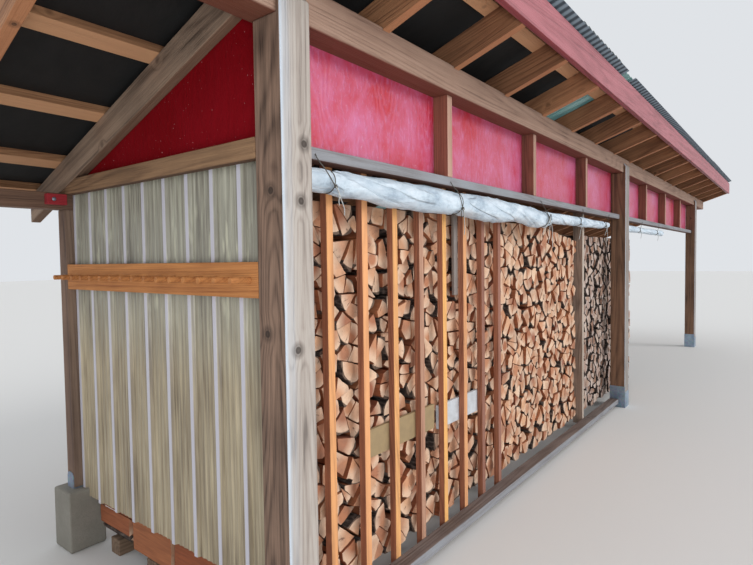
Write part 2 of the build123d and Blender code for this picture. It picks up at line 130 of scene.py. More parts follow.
class Field:
    """A value that varies over a surface. Arithmetic with it adds nodes to its material."""

    __add__ = operator("ADD")
    __sub__ = operator("SUBTRACT")
    __mul__ = operator("MULTIPLY")
    __truediv__ = operator("DIVIDE")
    __pow__ = operator("POWER")
    __lt__ = operator("LESS_THAN")
    __gt__ = operator("GREATER_THAN")
    at_least = operator("MAXIMUM")
    at_most = operator("MINIMUM")

    def __init__(self, recipe, socket):
        self.recipe = recipe
        self.socket = socket

    def __rsub__(self, other):
        return self.recipe.math("SUBTRACT", other, self)

    def wave(self, turns):
        """A wave between 0 and 1, by radians for each unit of the field."""
        return self.recipe.math("SINE", self * turns) * 0.5 + 0.5

    def fade(self, start, end):
        """0 up to the start and 1 from the end on."""
        return self.ramp((start, 0.0), (end, 1.0))

    def ramp(self, *stops, steps=False):
        """Shades or grey levels by the field's value, faded from stop to stop or in steps."""
        made = self.recipe.add("ValToRGB", 0, None, self)
        bands = made.socket.node.color_ramp
        bands.interpolation = "CONSTANT" if steps else "LINEAR"
        while len(bands.elements) < len(stops):
            bands.elements.new(0.5)
        for element, (position, shade) in zip(bands.elements, stops):
            element.position = position
            element.color = paint(shade)
        return made


class Recipe:
    """One material's nodes. Most methods add a node and return one of its outputs as a field."""

    def __init__(self, name, **skin):
        self.material = bpy.data.materials.new(name)
        self.material.use_nodes = True
        self.tree = self.material.node_tree
        self.shader = self.tree.nodes["Principled BSDF"]
        for setting, value in skin.items():
            self.shader.inputs[setting.replace("_", " ")].default_value = value

    def join(self, value, socket):
        if isinstance(value, Field):
            self.tree.links.new(value.socket, socket)
        else:
            socket.default_value = paint(value) if socket.type == "RGBA" else value

    def add(self, kind, output=0, settings=None, *values, **inputs):
        """Add a node, with its inputs given in order or by name."""
        made = adjust(self.tree.nodes.new("ShaderNode" + kind), **(settings or {}))
        for value, socket in zip(values, made.inputs):
            self.join(value, socket)
        for socket, value in inputs.items():
            self.join(value, made.inputs[socket])
        return Field(self, made.outputs[output])

    def math(self, operation, *values):
        return self.add("Math", 0, {"operation": operation}, *values)

    def vector_math(self, operation, *values, output=0):
        return self.add("VectorMath", output, {"operation": operation}, *values)

    def place(self, stretch=(1.0, 1.0, 1.0), turn=(0.0, 0.0, 0.0)):
        """Object coordinates, turned first and then stretched."""
        whole = self.add("TexCoord", "Object")
        return self.add("Mapping", 0, {"vector_type": "TEXTURE"}, Vector=whole, Scale=stretch, Rotation=turn)

    def parts(self, vector):
        """The three numbers of a vector."""
        first = self.add("SeparateXYZ", 0, None, vector)
        return [Field(self, socket) for socket in first.socket.node.outputs]

    def attribute(self, name, output=2):
        """A number that each point of a mesh carries, or a vector for output 1."""
        return self.add("Attribute", output, {"attribute_name": name})

    def noise(self, place, scale, detail=3.0, roughness=0.55, distortion=0.0):
        """Smooth noise over a field of places, or over object coordinates stretched by three numbers."""
        place = self.place(place) if isinstance(place, tuple) else place
        settings = {"Detail": detail, "Roughness": roughness, "Distortion": distortion}
        return self.add("TexNoise", Vector=place, Scale=scale, **settings)

    def blend(self, share, first, second):
        """The first colour where the share is 0, the second where it is 1."""
        made = self.add("Mix", 2, {"data_type": "RGBA"}, share)
        for value, socket in zip((first, second), made.socket.node.inputs[6:8]):
            self.join(value, socket)
        return made

    def finish(self, shade, height=None, depth=0.002):
        self.join(shade, self.shader.inputs["Base Color"])
        if height is not None:
            self.join(self.add("Bump", Height=height, Distance=depth), self.shader.inputs["Normal"])
        return self.material


print("Mid grey as a shader takes it:", round(paint("#808080")[0], 3))

# %% [markdown]
# ## Helpers for shapes
# A new piece is shaped in a bmesh, then handed over here once: it gets its mesh, its materials and the
# part's one body to ride on, and the nodes that it stands for are hidden.

# %% Helpers for shapes
MERGE_REACH = 0.00002
CUT_REACH = 0.00001


def mesh_object(name, shape, *materials):
    """Turn a finished bmesh into an object at the origin."""
    mesh = bpy.data.meshes.new(name)
    shape.to_mesh(mesh)
    shape.free()
    for material in materials:
        mesh.materials.append(material)
    return new_object(name, mesh)


def make_piece(name, shape, materials, slot, *nodes, smooth=False):
    """Turn a finished bmesh into a piece that stands for some nodes."""
    piece = mesh_object(name, shape, *materials)
    if smooth:
        piece.data.shade_smooth()
    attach(piece, "root")
    if nodes:
        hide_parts(*nodes)
    print(name, "has", len(piece.data.polygons), "faces")
    return piece


def merged_copy(node):
    """A node's mesh as a bmesh without double points."""
    shape = bmesh.new()
    shape.from_mesh(cad[node].data)
    ops.remove_doubles(shape, verts=shape.verts, dist=MERGE_REACH)
    return shape


def thicken(piece, thickness):
    """Give an open sheet its thickness, half to each side."""
    adjust(piece.modifiers.new("thickness", "SOLIDIFY"), thickness=thickness, offset=0.0)


def picked(made, kind):
    """The points, edges or faces among what an operator made."""
    return [item for item in made["geom"] if isinstance(item, kind)]


felt = merged_copy("roof_felt")
print("The roof felt's mesh has", len(cad["roof_felt"].data.vertices), "points, and merged", len(felt.verts))
felt.free()

# %% [markdown]
# ## Floor and light
# The stage is a pale floor, a pale world and three very soft lamps. The strongest stands in front of
# the shed, and a weaker one lights the end wall. The third is a panel low behind the camera, turned up,
# so that the rafters and purlins under the roof don't drown in shade.

# %% Floor and light
FLOOR_COLOUR = (0.72, 0.71, 0.69, 1.0)
FLOOR_SIZE = 60.0
SKY_COLOUR = (0.93, 0.96, 1.0, 1.0)
SKY_STRENGTH = 0.8
PANEL_FROM_CAMERA = Vector((-0.6, -1.5, -0.65))

scene.view_settings.view_transform = "Standard"
floor_shape = bmesh.new()
ops.create_grid(floor_shape, x_segments=1, y_segments=1, size=FLOOR_SIZE)
floor = mesh_object("floor", floor_shape, Recipe("pale_floor", Roughness=0.9).finish(FLOOR_COLOUR))

scene.world = bpy.data.worlds.new("studio")
scene.world.use_nodes = True
background = scene.world.node_tree.nodes["Background"]
background.inputs["Color"].default_value = SKY_COLOUR
background.inputs["Strength"].default_value = SKY_STRENGTH


def lamp(name, kind, toward, energy, **settings):
    """A lamp that shines one way, so wide that its shadows have no hard edge."""
    light = adjust(bpy.data.lights.new(name, kind), energy=energy, **settings)
    turn = Vector(toward).to_track_quat("-Z", "Y")
    return adjust(new_object(name, light), rotation_mode="QUATERNION", rotation_quaternion=turn)


front_light = lamp("front_light", "SUN", (-0.30, 1.0, -0.50), 1.5, angle=radians(30.0))
end_light = lamp("end_light", "SUN", (1.0, 0.45, -0.25), 0.25, angle=radians(50.0))
panel = lamp("bounce_light", "AREA", (0.50, 0.32, 0.80), 65.0, size=1.3)
panel.location = camera.location + PANEL_FROM_CAMERA
print("Lamps:", {item.name: item.data.energy for item in (front_light, end_light, panel)})

# %% [markdown]
# ## Timber
# Every timber was sawn from a log, so its face shows fine fibres, broader streaks, the arched lines of
# the growth rings and a knot here and there. The arched lines are a smooth noise, stretched along the
# timber and cut into bands by a sine. A knot is a small ball in the wood, and the lines bend round it
# when the noise is raised near it. The faces that look out from under the roof are lighter, partly
# bleached by rain and sun and partly painted light. Undersides take their own tone: the brown of old wood
# darkened further as painted shade on most timbers, and lightened as painted light thrown up from the
# ground on rafters and purlins.

# %% Timber
KNOT_CELLS = 5.0
LISTED_KNOT = 0.6
ARCH_LENGTH, FIBRE_LENGTH = 16.0, 45.0
SHEEN_STRIP = 0.07


def stretched(along, times):
    """Stretch of a pattern along one axis."""
    return tuple(times if axis == along else 1.0 for axis in "xyz")


def knot_field(wood, plain, chance, at):
    """Distance to the nearest knot in cells of 200 mm: strewn ones, and larger ones at given places."""
    near = wood.add("TexVoronoi", Vector=plain, Scale=KNOT_CELLS)
    cell_chance = wood.parts(Field(wood, near.socket.node.outputs["Color"]))[0]
    field = near + (1.0 - (cell_chance < chance))
    for spot in at:
        away = wood.vector_math("DISTANCE", plain, tuple(spot), output=1)
        field = field.at_most(away * (KNOT_CELLS * LISTED_KNOT))
    return field


def timber(
    name, along, light, dark, outside=None, weather_and_light=0.0, under=None, slope=0.0, row=None, spread=0.2,
    knots=0.35, knots_at=(), contrast=1.0, arris=None, corner=None, roughness=0.8,
):
    """Sawn timber: grain along one axis, board by board shades, fronts lighter by weathering and painted light,
    undersides in painted light and shade.
    """
    wood = Recipe(name, Roughness=roughness)
    plain = wood.place()
    arches = wood.place(stretched(along, ARCH_LENGTH), (-slope, 0.0, 0.0))
    lengths = wood.place(stretched(along, FIBRE_LENGTH), (-slope, 0.0, 0.0))
    shift = 0.0
    if row is not None:
        step, start = row
        number = wood.math("FLOOR", (wood.parts(plain)[0] - start) / step)
        chance = wood.add("TexWhiteNoise", 0, {"noise_dimensions": "1D"}, W=number)
        shift = (chance - 0.5) * (spread * 2)
        arches = wood.vector_math("ADD", arches, chance * 7.0)
        lengths = wood.vector_math("ADD", lengths, chance * 7.0)
    spots = knot_field(wood, plain, knots, knots_at)
    contour = wood.noise(arches, 4.0, detail=1.0, roughness=0.4, distortion=0.4)
    contour = spots.ramp((0.0, 1.0), (0.07, 0.55), (0.26, 0.0)) * 0.05 + contour
    bands = contour.wave(175.0) ** 2.5
    fibres = wood.noise(lengths, 210.0, detail=3.0, roughness=0.65).fade(0.30, 0.70)
    streaks = wood.noise(lengths, 30.0, detail=4.0, roughness=0.6).fade(0.30, 0.70)
    blotches = wood.noise(plain, 2.6, detail=4.0)
    # Rings, fibres and streaks darken the wood by a share each, and blotches and the board's own shade shift it.
    share = bands * (0.26 * contrast) + fibres * (0.34 * contrast) + streaks * (0.50 * contrast)
    share = share + (blotches - 0.5) * 0.9 + shift + 0.45 * (1.0 - contrast)
    shade = wood.blend(share, light, dark)
    facing = wood.parts(wood.add("NewGeometry", "Normal"))
    # Faces that look down take a painted underside tone: painted shade on headers, rails and beams, painted light
    # from the ground on rafters and purlins.
    if under is not None:
        downward = (facing[2] * -1.0).at_least(0.0)
        shade = wood.blend(downward * 0.85, shade, under)
    # Front faces lean toward the front tone: partly bleaching by rain and sun, partly painted light from the front.
    if outside is not None:
        front_tone = outside
        if isinstance(outside, list):
            stops = [(board / len(outside), tone) for board, tone in enumerate(outside)]
            front_tone = ((number + 0.5) / len(outside)).ramp(*stops, steps=True)
        outward = (facing[1] * -1.0).at_least(0.0)
        bare = share * -0.85 + 1.28
        shade = wood.blend((outward * bare * weather_and_light).at_most(1.0), shade, front_tone)
    # The cold sheen along the worn corner is painted: a highlight laid over the wear there, fading across the front.
    if arris is not None:
        corner_sheen = facing[0] * facing[1] * 2.4
        shade = wood.blend(corner_sheen.at_least(0.0).at_most(0.7), shade, arris)
    if corner is not None:
        beside = (wood.parts(plain)[0] - corner).ramp((0.0, 0.75), (SHEEN_STRIP, 0.0))
        shade = wood.blend(beside * streaks * outward, shade, arris)
    ring = spots.ramp((0.04, 0.0), (0.06, 0.55), (0.12, 0.0))
    heart = spots.ramp((0.0, 0.8), (0.035, 0.9), (0.055, 0.0))
    shade = wood.blend(ring, shade, darker(dark, 0.65))
    shade = wood.blend(heart, shade, darker(dark, 0.45))
    return wood.finish(shade, fibres * -0.6 + bands * -0.5 + streaks * -0.5)


# %% [markdown]
# ## Eased edges
# No timber has a knife edge. A carried-over node is loose triangles, so its points are welded first,
# and a bevel then rounds each sharp edge by its width. Plates get no width and stay as they are.

# %% Eased edges
FELT = 0.003
WELD_REACH = 0.00005
SHARP_ANGLE = radians(40)
WIDE_EDGE = 0.005


def dress(material, edge, *nodes, segments=2):
    """Give carried-over nodes a finish and, where an edge width is given, eased edges."""
    for node in nodes:
        piece = cad[node]
        piece.data.materials.clear()
        piece.data.materials.append(material)
        if edge:
            adjust(piece.modifiers.new("weld", "WELD"), merge_threshold=WELD_REACH)
            bevel = adjust(piece.modifiers.new("eased_edges", "BEVEL"), width=edge, segments=segments)
            adjust(bevel, limit_method="ANGLE", angle_limit=SHARP_ANGLE)
    print(material.name, "on", *nodes)


def dress_timber(name, nodes, edge, *wood, **more):
    """Dress nodes in a timber of their own. A wide edge is rounded in one step more."""
    dress(timber(name + "_timber", *wood, **more), edge, *nodes.split(), segments=3 if edge > WIDE_EDGE else 2)


def roof_slope():
    """Slope of the roof, from the felt's box less what its thickness adds."""
    low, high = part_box("roof_felt")
    angle = atan2(high.z - low.z, high.y - low.y)
    return atan2(high.z - low.z - FELT * cos(angle), high.y - low.y - FELT * sin(angle))


ROOF_SLOPE = roof_slope()
print("Roof slope in degrees:", round(degrees(ROOF_SLOPE), 2))

# %% [markdown]
# ## Which timber goes where
# Light and dark are the two ends of each timber's range. The near post's front is nearly white, partly
# bleached and partly painted light, with a painted cold sheen along the worn corner, while its side
# stays brown. Timbers in a row get its step and its start, so that each has its own shade. The battens
# differ most, so their fronts are listed one by one, each board's own colour with painted sunlight in it.

# %% Which timber goes where
POST_KNOTS = [(0.110, 0.0, 2.070), (0.089, 0.0, 1.856), (0.0, 0.067, 1.893), (0.060, 0.0, 1.30), (0.0, 0.10, 1.36)]
# Colour of the painted highlight along the near post's worn corner.
COLD_SHEEN = "#c4d0dc"
# Batten front tones: each board's own colour with painted sunlight in it, lighter than the sides.
BATTEN_FRONTS = "#e8a86e #e4a470 #e8ac6c #b89078 #eab068 #dca06e #8c6456 #92685a".split()

dress_timber(
    "near_post", "front_post_near", 0.010, "z", "#9e806c", "#3c2a20", "#b0a8a0", 0.92, contrast=1.1, knots=0.12,
    knots_at=[post_corner + Vector(place) for place in POST_KNOTS], arris=COLD_SHEEN, corner=post_low.x,
)
FRONT_POSTS, HEADERS = "front_post_middle front_post_far", "front_header_near front_header_far"
RAILS = "front_rail_near front_rail_far foot_rail"
BACK_POSTS, BACK_HEADERS = "back_post_near back_post_middle back_post_far", "back_header_near back_header_far"
dress_timber("post", FRONT_POSTS, 0.008, "z", "#926c52", "#422c20", "#96928e", 0.85, arris=COLD_SHEEN)
# The darker underside tones of headers, rails, the end beam and the gable rafter are painted shade.
dress_timber("header", HEADERS, 0.007, "x", "#b49074", "#5c3e2e", "#a88c7e", 0.55, under="#682c18")
dress_timber("rail", RAILS, 0.004, "x", "#847670", "#4a3a32", "#8e9298", 0.8, under="#603624")
dress_timber("short_stud", "cripple_studs", 0.003, "z", "#98604c", "#5c3428", "#ba9682", 0.9, row=(1.219, -9.0))
# The lighter underside tones of rafters and purlins are painted light, thrown up from the ground.
row = (0.64, post_low.x - 0.3)
dress_timber("rafter", "rafters", 0.003, "y", "#b6825c", "#6c462e", under="#b07650", slope=ROOF_SLOPE, row=row)
dress_timber("gable_rafter", "gable_rafter", 0.005, "y", "#b29882", "#544236", under="#705440", slope=ROOF_SLOPE)
dress_timber("purlin", "purlins", 0.003, "x", "#cc9a70", "#80583c", under="#ce9c74")
dress_timber("back", BACK_POSTS, 0.005, "z", "#8c705e", "#4a362c", "#968270", 0.4)
dress_timber("back_header", BACK_HEADERS, 0.005, "x", "#8c6c58", "#4c382e")
dress_timber("end_beam", "end_beam", 0.005, "y", "#a27e5c", "#543a28", under="#543826", knots=0.15)
row = (0.2426, post_low.x + 0.287)
board = {"row": row, "spread": 0.12, "knots": 0.2}
dress_timber("batten", "front_battens", 0.003, "z", "#bc7a5a", "#764632", BATTEN_FRONTS, 0.95, **board)
dress_timber("grey_stud", "stack_stud", 0.003, "z", "#a69080", "#604e42", "#beb0a2", 0.85)
dress_timber("stud", "end_studs", 0.003, "z", "#b0805c", "#704a32")
dress_timber("girt", "end_wall_girts", 0.003, "y", "#b0805c", "#704a32")
dress_timber("bearer", "log_bearers", 0.005, "x", "#8c745e", "#4e3c2e")
rack_wood = timber("rack_timber", "y", "#d69254", "#965a2e", knots=0.15)
dress(rack_wood, 0.004, "tool_rack_board")
dress(rack_wood, 0.006, "tool_rack_pegs", segments=3)

# %% [markdown]
# ## Loose boards
# Two boards and a lath stand behind the battens: a dull yellow board, a white one and a grey lath.
# They share a node, so the place along the shed picks a board's shade, and the lath stands higher.

# %% Loose boards


def loose_boards():
    """Three shades by place, with the same fine grain."""
    boards = Recipe("loose_board_wood", Roughness=0.75)
    across, _, height = boards.parts(boards.place())
    along = (across - post_high.x) / 2.0
    tone = along.ramp((0.0, "#a89068"), (0.58, "#d6dce2"), steps=True)
    tone = boards.blend(height > 1.0, tone, "#8e8682")
    fibres = boards.noise((8.0, 1.0, 8.0), 160.0, detail=4.0, roughness=0.65)
    return boards.finish(boards.blend(fibres * 0.6, tone, "#605244"), fibres, depth=0.001)


dress(loose_boards(), 0.002, "retaining_boards")

# %% [markdown]
# ## Stained plywood and painted wood
# The panels between the posts are plywood under a red stain, with a satin skin that catches the sky. The
# milky pink sheen, through which the upright veneer and its small dents show, is painted into the
# stain's colour. The gable panel stands in the shade and keeps its deep red.

# %% Stained plywood and painted wood


def stained_plywood(name, deep, milky, sheen, coat, roughness):
    """Red stained plywood, grain upright, with milky patches of painted sheen where its skin catches the light."""
    gloss = 0.5 if coat else 0.1
    ply = Recipe(name, Roughness=roughness, Coat_Weight=coat, Coat_Roughness=0.3, Specular_IOR_Level=gloss)
    plain = ply.place()
    contour = ply.noise((1.0, 1.0, 4.0), 3.0, detail=2.0, roughness=0.45, distortion=0.6)
    bands = contour.wave(130.0)
    clouds = ply.noise(plain, 3.2, detail=5.0, roughness=0.6).fade(0.36, 0.64)
    flecks = ply.noise((1.0, 1.0, 2.5), 55.0, detail=4.0, roughness=0.7).fade(0.52, 0.66)
    share = (clouds * 0.75 + bands * 0.16 + flecks * 0.4) * sheen
    # The milky tone is a painted sheen: sky reflected by the skin, drawn into the colour.
    shade = ply.blend(share.at_most(1.0), deep, milky)
    specks = ply.noise(plain, 95.0, detail=1.0).ramp((0.75, 0.0), (0.78, 0.6))
    shade = ply.blend(specks, shade, "#d6b0b2")
    return ply.finish(shade, bands * 0.4 + flecks * 0.5 + clouds, depth=0.0025)


panel_stain = stained_plywood("panel_stain", "#bc122c", "#ce7aa8", sheen=0.70, coat=0.35, roughness=0.4)
gable_stain = stained_plywood("gable_stain", "#7a010c", "#8e0c1c", sheen=0.45, coat=0.0, roughness=0.8)
dress(panel_stain, 0, "front_panel_near", "front_panel_far")
dress(gable_stain, 0, "gable_panel")

fascia_stain = timber("fascia_stain", "x", "#a44c52", "#5c1a20", "#b46e76", 0.65, knots=0.2, roughness=0.5)
dress(fascia_stain, 0.004, "fascia_near", "fascia_far")
cleat_paint = timber("cleat_paint", "x", "#b63038", "#841a26", knots=0.0, contrast=0.7)
dress(cleat_paint, 0.003, "painted_cleat")

# %% [markdown]
# ## Felt, zinc and concrete
# The underside of the roof is black felt with fine creases. Along its front edge a blue-grey sheen is
# painted in waves in step with the corrugated sheets that lie on it, standing for their lit edges. The
# feet are galvanised steel and cast concrete.

# %% Felt, zinc and concrete
WAVE_TURNS = 2 * pi / 0.0762
SHEEN_EDGE = 0.10


def roofing_felt():
    """Near black felt with fine creases, and a blue-grey painted sheen in waves along its front edge."""
    felt = Recipe("roofing_felt", Roughness=0.8)
    across, back, _ = felt.parts(felt.place())
    creases = felt.noise((1.0, 3.0, 1.0), 14.0, detail=4.0)
    shade = creases.ramp((0.3, "#060606"), (0.75, "#141313"))
    # Painted sheen: blue-grey waves that stand for the lit edges of the corrugated sheets above.
    front_tone = across.wave(WAVE_TURNS).ramp((0.2, "#3e4a54"), (0.8, "#8496a2"))
    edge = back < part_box("roof_felt")[0].y + SHEEN_EDGE
    return felt.finish(felt.blend(edge, shade, front_tone), creases, depth=0.004)


def galvanised():
    """Hot-dip zinc: a blue-grey patchwork of crystals, dull and a little stained."""
    zinc = Recipe("galvanised_steel", Roughness=0.5, Metallic=0.75)
    crystals = zinc.add("TexVoronoi", 1, Vector=zinc.place(), Scale=90.0)
    patches = zinc.noise(zinc.place(), 9.0)
    greys = patches.ramp((0.3, "#70849a"), (0.8, "#a6b8c8"))
    return zinc.finish(zinc.blend(0.10, greys, crystals), patches, depth=0.001)


def cast_concrete():
    """Grey concrete with air holes and stains."""
    mix = Recipe("cast_concrete", Roughness=0.92)
    grains = mix.noise(mix.place(), 60.0, detail=6.0, roughness=0.7)
    stains = mix.noise(mix.place(), 5.0, detail=3.0)
    shade = mix.blend(stains, "#a8a49a", "#767268")
    return mix.finish(mix.blend(grains * 0.4, shade, "#5a564e"), grains, depth=0.004)


zinc_finish = galvanised()
dress(roofing_felt(), 0, "roof_felt")
dress(zinc_finish, 0.001, "post_sleeves", "post_saddles")
dress(cast_concrete(), 0.012, "back_piers")

# %% [markdown]
# ## Corrugated roof
# Each roof sheet is a thin corrugated plate. A grid with its rows bent into a wave is the plate's
# middle, and Solidify gives it its thickness. The wave stands square to the slope, not upright, and the
# sheets end a little unevenly, which makes the stepped edge over the fascia.

# %% Corrugated roof
SHEET_WAVES = 10
WAVE_STEPS = 8
SLOPE_STEPS = 6
WAVE_HEIGHT = 0.017
SHEET_THICKNESS = 0.0015
LAP_RISE = 0.003
UNEVEN_ENDS = 0.03
BACK_MARGIN = 0.008

felt_low, felt_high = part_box("roof_felt")
roof_draw = random.Random(5)


def sheet_spans(node):
    """Low and high X of each separate sheet in a node."""
    shape = merged_copy(node)
    left = set(shape.verts)
    spans = []
    while left:
        island = [left.pop()]
        for vert in island:
            joined = {edge.other_vert(vert) for edge in vert.link_edges} & left
            left -= joined
            island += joined
        across = [vert.co.x for vert in island]
        spans.append((min(across), max(across)))
    shape.free()
    return sorted(spans)


def on_roof(across, back, lift):
    """A point over the roof: its place from front to back, and how far it stands off the felt."""
    underside = felt_low.z + (felt_high.y - FELT * sin(ROOF_SLOPE) - back) * tan(ROOF_SLOPE)
    lift += FELT
    return Vector((across, back + lift * sin(ROOF_SLOPE), underside + lift * cos(ROOF_SLOPE)))


def corrugated_sheet(shape, start, end, lift):
    """Add one corrugated plate between two places along the roof."""
    made = ops.create_grid(shape, x_segments=SHEET_WAVES * WAVE_STEPS, y_segments=SLOPE_STEPS, size=0.5)
    wave = (end - start) / SHEET_WAVES
    front = felt_low.y + roof_draw.uniform(0.0, UNEVEN_ENDS)
    back_end = felt_high.y - BACK_MARGIN - roof_draw.uniform(0.0, UNEVEN_ENDS)
    for vert in made["verts"]:
        across = start + (vert.co.x + 0.5) * (end - start)
        back = front + (vert.co.y + 0.5) * (back_end - front)
        swell = WAVE_HEIGHT / 2 * (1 - cos(2 * pi * (across - start) / wave))
        vert.co = on_roof(across, back, SHEET_THICKNESS + swell + lift)


def roof_piece(name, node, material, slot):
    """All the sheets of one kind as one piece."""
    shape = bmesh.new()
    for number, (start, end) in enumerate(sheet_spans(node)):
        corrugated_sheet(shape, start, end, LAP_RISE * (number % 2))
    thicken(make_piece(name, shape, [material], slot, node, smooth=True), SHEET_THICKNESS)


def weathered_sheet():
    """Dark coated steel, dulled in streaks that run down the slope."""
    steel = Recipe("weathered_roof_sheet", Roughness=0.55, Metallic=0.3)
    streaks = steel.noise((0.2, 2.5, 1.0), 5.0, detail=4.0)
    specks = steel.noise(steel.place(), 40.0, detail=4.0)
    shade = (specks * 0.4 + streaks * 0.7).ramp((0.3, "#3a3e3e"), (0.8, "#808886"))
    return steel.finish(shade, specks)


def clear_sheet():
    """Cloudy blue-green plastic that lets light through."""
    plastic = Recipe("clear_roof_sheet", Roughness=0.3, Transmission_Weight=0.55)
    clouds = plastic.noise((1.0, 2.0, 1.0), 8.0, detail=4.0)
    return plastic.finish(clouds.ramp((0.3, "#80b2b0"), (0.8, "#badcd6")))


roof_piece("corrugated_roof", "roof_sheets", weathered_sheet(), "roof_sheet")
roof_piece("clear_corrugated_roof", "clear_roof_sheets", clear_sheet(), "clear_sheet")

# %% [markdown]
# ## End wall
# The near end is closed by a ribbed plastic sheet: a bold rib every 183 mm, and four small ridges in
# each pan between them. One row of vertices follows that profile, and extruding it upward makes the
# sheet. Two cuts take away the corner that stands over the concrete pier.

# %% End wall
RIB_COUNT = 9
FIRST_RIB = 0.154
RIB_STEP = 0.183
RIB_FOOT, RIB_CREST = 0.020, 0.010
RIDGES = 4
RIDGE_FOOT, RIDGE_CREST = 0.009, 0.003
RIDGE_HEIGHT = 0.0035
WALL_SKIN = 0.0012
WALL_METAL = 0.002
CREST_MARGIN = 0.003
PIER_GAP = 0.001

wall_low, wall_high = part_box("end_wall_sheet")
wall_face = wall_high.x - WALL_METAL
rib_height = wall_high.x - wall_low.x - CREST_MARGIN


def raised(middle, foot, crest, height):
    """The four corners of a rib or a ridge, as places along the wall and depths."""
    top = wall_face - height
    return [(middle - foot, wall_face), (middle - crest, top), (middle + crest, top), (middle + foot, wall_face)]


def wall_profile():
    """Places and depths along the sheet, from the near post to the back post."""
    points = []
    for number in range(-1, RIB_COUNT):
        middle = wall_low.y + FIRST_RIB + RIB_STEP * number
        if number >= 0:
            points += raised(middle, RIB_FOOT, RIB_CREST, rib_height)
        for ridge in range(RIDGES):
            place = middle + RIB_STEP * (ridge + 1) / (RIDGES + 1)
            points += raised(place, RIDGE_FOOT, RIDGE_CREST, RIDGE_HEIGHT)
    inside = [point for point in points if wall_low.y < point[0] < wall_high.y]
    return [(wall_low.y, wall_face), *inside, (wall_high.y, wall_face)]


def ribbed_wall():
    """The end wall sheet as one bent plate."""
    shape = bmesh.new()
    foot = [shape.verts.new((depth, place, wall_low.z)) for place, depth in wall_profile()]
    edges = [shape.edges.new(pair) for pair in zip(foot, foot[1:])]
    top = picked(ops.extrude_edge_only(shape, edges=edges), BMVert)
    ops.translate(shape, verts=top, vec=(0.0, 0.0, wall_high.z - wall_low.z))
    pier_low, pier_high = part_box("back_piers")
    edge_y, edge_z = pier_low.y - PIER_GAP, pier_high.z + PIER_GAP
    for spot, normal in (((0.0, edge_y, 0.0), (0, 1, 0)), ((0.0, 0.0, edge_z), (0, 0, 1))):
        whole = [*shape.verts, *shape.edges, *shape.faces]
        ops.bisect_plane(shape, geom=whole, plane_co=spot, plane_no=normal, dist=CUT_REACH)
    middles = [(face, face.calc_center_median()) for face in shape.faces]
    over_pier = [face for face, middle in middles if middle.y > edge_y and middle.z < edge_z]
    ops.delete(shape, geom=over_pier, context="FACES")
    ops.recalc_face_normals(shape, faces=shape.faces)
    thicken(make_piece("ribbed_end_wall", shape, [wall_plastic()], "wall_sheet", "end_wall_sheet"), WALL_SKIN)


def wall_plastic():
    """Aged plastic sheet with painted light: streaks of light coming through, painted sunlight warming the foot,
    painted glints, and painted highlights on the ribs.
    """
    plastic = Recipe("ribbed_wall_sheet", Roughness=0.36)
    across, _, height = plastic.parts(plastic.place())
    fine = plastic.noise((1.0, 1.0, 30.0), 70.0, detail=3.0, roughness=0.6)
    broad = plastic.noise((1.0, 1.0, 2.6), 4.5, detail=3.0)
    share = fine * 0.75 + broad * 0.45
    tones = [(0.40, "#68645a"), (0.54, "#8a8678"), (0.68, "#a09e8e"), (0.84, "#bebcaa")]
    shade = share.ramp(*tones)
    level = height * 0.4
    # Painted sunlight: the lower wall is warmed where the sun falls on it.
    sunlit_tone = share.ramp((0.40, "#7c6a50"), (0.84, "#ceb892"))
    shade = plastic.blend(level.ramp((0.44, 0.6), (0.60, 0.0)), shade, sunlit_tone)
    # Painted glow: glints of light through the sheet, strongest at mid height.
    glints = plastic.noise((1.0, 1.0, 5.0), 26.0, detail=2.0, roughness=0.5).fade(0.58, 0.70)
    lit = level.ramp((0.48, 0.0), (0.66, 1.0), (0.76, 0.2))
    shade = plastic.blend(glints * lit * 0.5, shade, "#ececce")
    # Painted highlight on the crests of the bold ribs.
    proud = (wall_face - RIDGE_HEIGHT - 0.001) - across
    rib = ((proud - 0.009) * 250.0).at_least(0.0)
    return plastic.finish(plastic.blend(rib, shade, "#c4c2cc"), fine, depth=0.0006)


ribbed_wall()

# %% [markdown]
# ## Bolt in the cleat
# The red cleat hangs on one round-headed galvanised bolt. A quarter of an arc spun once round the
# bolt's axis is its dome, and one face closes its back.

# %% Bolt in the cleat
BOLT_HEAD = 0.011
DOME_DEPTH = BOLT_HEAD * 0.55
BOLT_FROM_END = 0.035

cleat_low, cleat_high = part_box("painted_cleat")
bolt_shape = bmesh.new()
angles = [pi / 2 * step / 5 for step in range(6)]
arc = [bolt_shape.verts.new((BOLT_HEAD * cos(angle), -DOME_DEPTH * sin(angle), 0.0)) for angle in angles]
for pair in zip(arc, arc[1:]):
    bolt_shape.edges.new(pair)
round_axis = {"cent": (0, 0, 0), "axis": (0, 1, 0), "angle": 2 * pi, "steps": 20, "use_merge": True}
ops.spin(bolt_shape, geom=[*bolt_shape.verts, *bolt_shape.edges], **round_axis)
ops.remove_doubles(bolt_shape, verts=bolt_shape.verts, dist=MERGE_REACH)
rim = [edge for edge in bolt_shape.edges if edge.is_boundary]
ops.contextual_create(bolt_shape, geom=rim)
ops.recalc_face_normals(bolt_shape, faces=bolt_shape.faces)
bolt_place = Vector((cleat_low.x + BOLT_FROM_END, cleat_low.y, (cleat_low.z + cleat_high.z) / 2))
ops.translate(bolt_shape, verts=bolt_shape.verts, vec=bolt_place)
make_piece("cleat_bolt", bolt_shape, [zinc_finish], "zinc", smooth=True)

